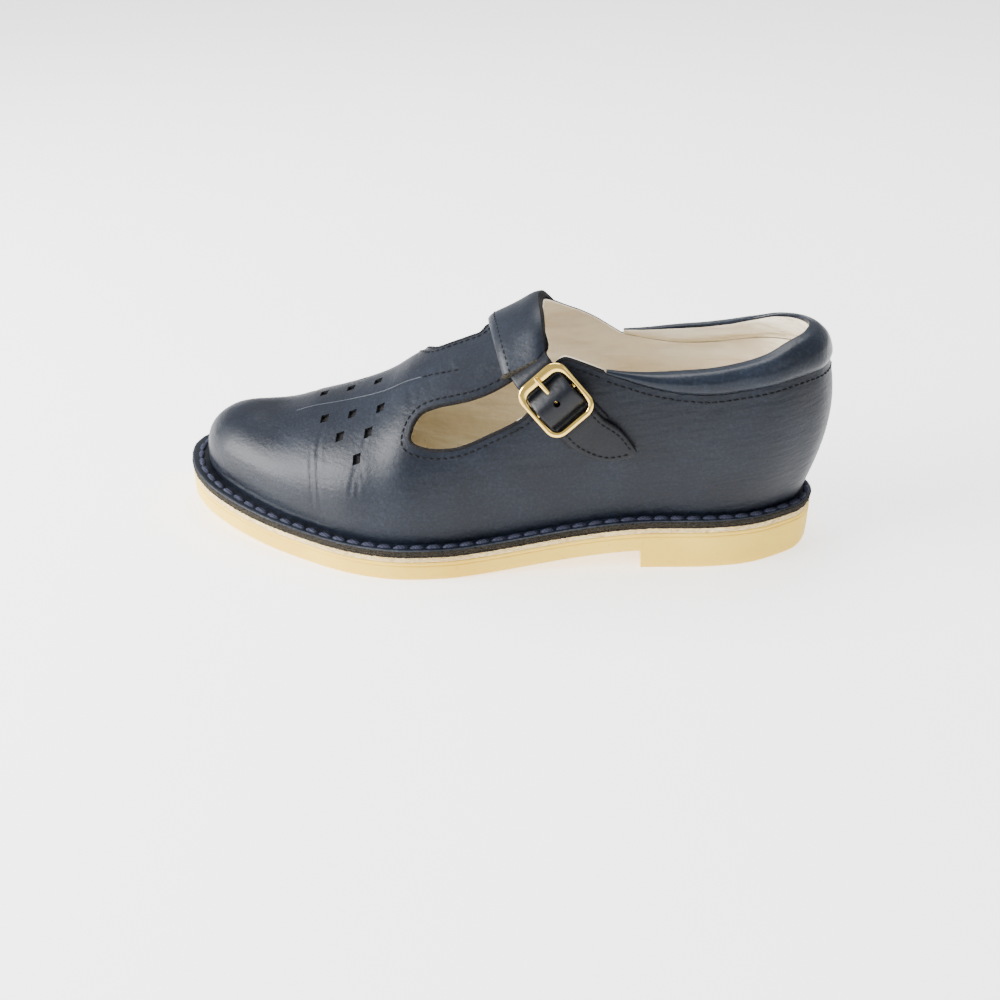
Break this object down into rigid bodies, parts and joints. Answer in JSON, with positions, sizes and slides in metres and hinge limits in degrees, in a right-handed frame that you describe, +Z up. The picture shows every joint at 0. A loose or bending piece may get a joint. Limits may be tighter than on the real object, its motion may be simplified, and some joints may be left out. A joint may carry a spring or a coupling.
{
  "type": "mary jane shoe",
  "caption": "Left leather T-bar mary jane shoe with cut-outs, punched toe, padded collar, buckled strap and stitched-down sole with a low heel.",
  "frame": {"origin": "on the floor, at the middle of the shoe's footprint box", "axes": "+Z up; the toe points to -X and the heel to +X; the outer side with the buckle faces -Y; 1 unit = 1 metre"},
  "size_m": [0.2688, 0.095, 0.102],
  "materials": {
    "upper_leather": "smooth, soft sheen, creased",
    "collar_leather": "shinier, fine cracks",
    "strap_leather": "smooth, soft sheen",
    "insole_leather": "matt, pale",
    "midsole_leather": "rough cut edge",
    "outsole_rubber": "matt crepe-like rubber",
    "buckle_brass": "polished"
  },
  "bodies": {
    "root": {"outsole": "outsole_rubber", "midsole": "midsole_leather", "insole": "insole_leather", "upper": "upper_leather", "collar": "collar_leather", "strap": "strap_leather", "buckle_chape": "strap_leather", "buckle_frame": "buckle_brass", "buckle_prong": "buckle_brass"}
  },
  "joints": []
}
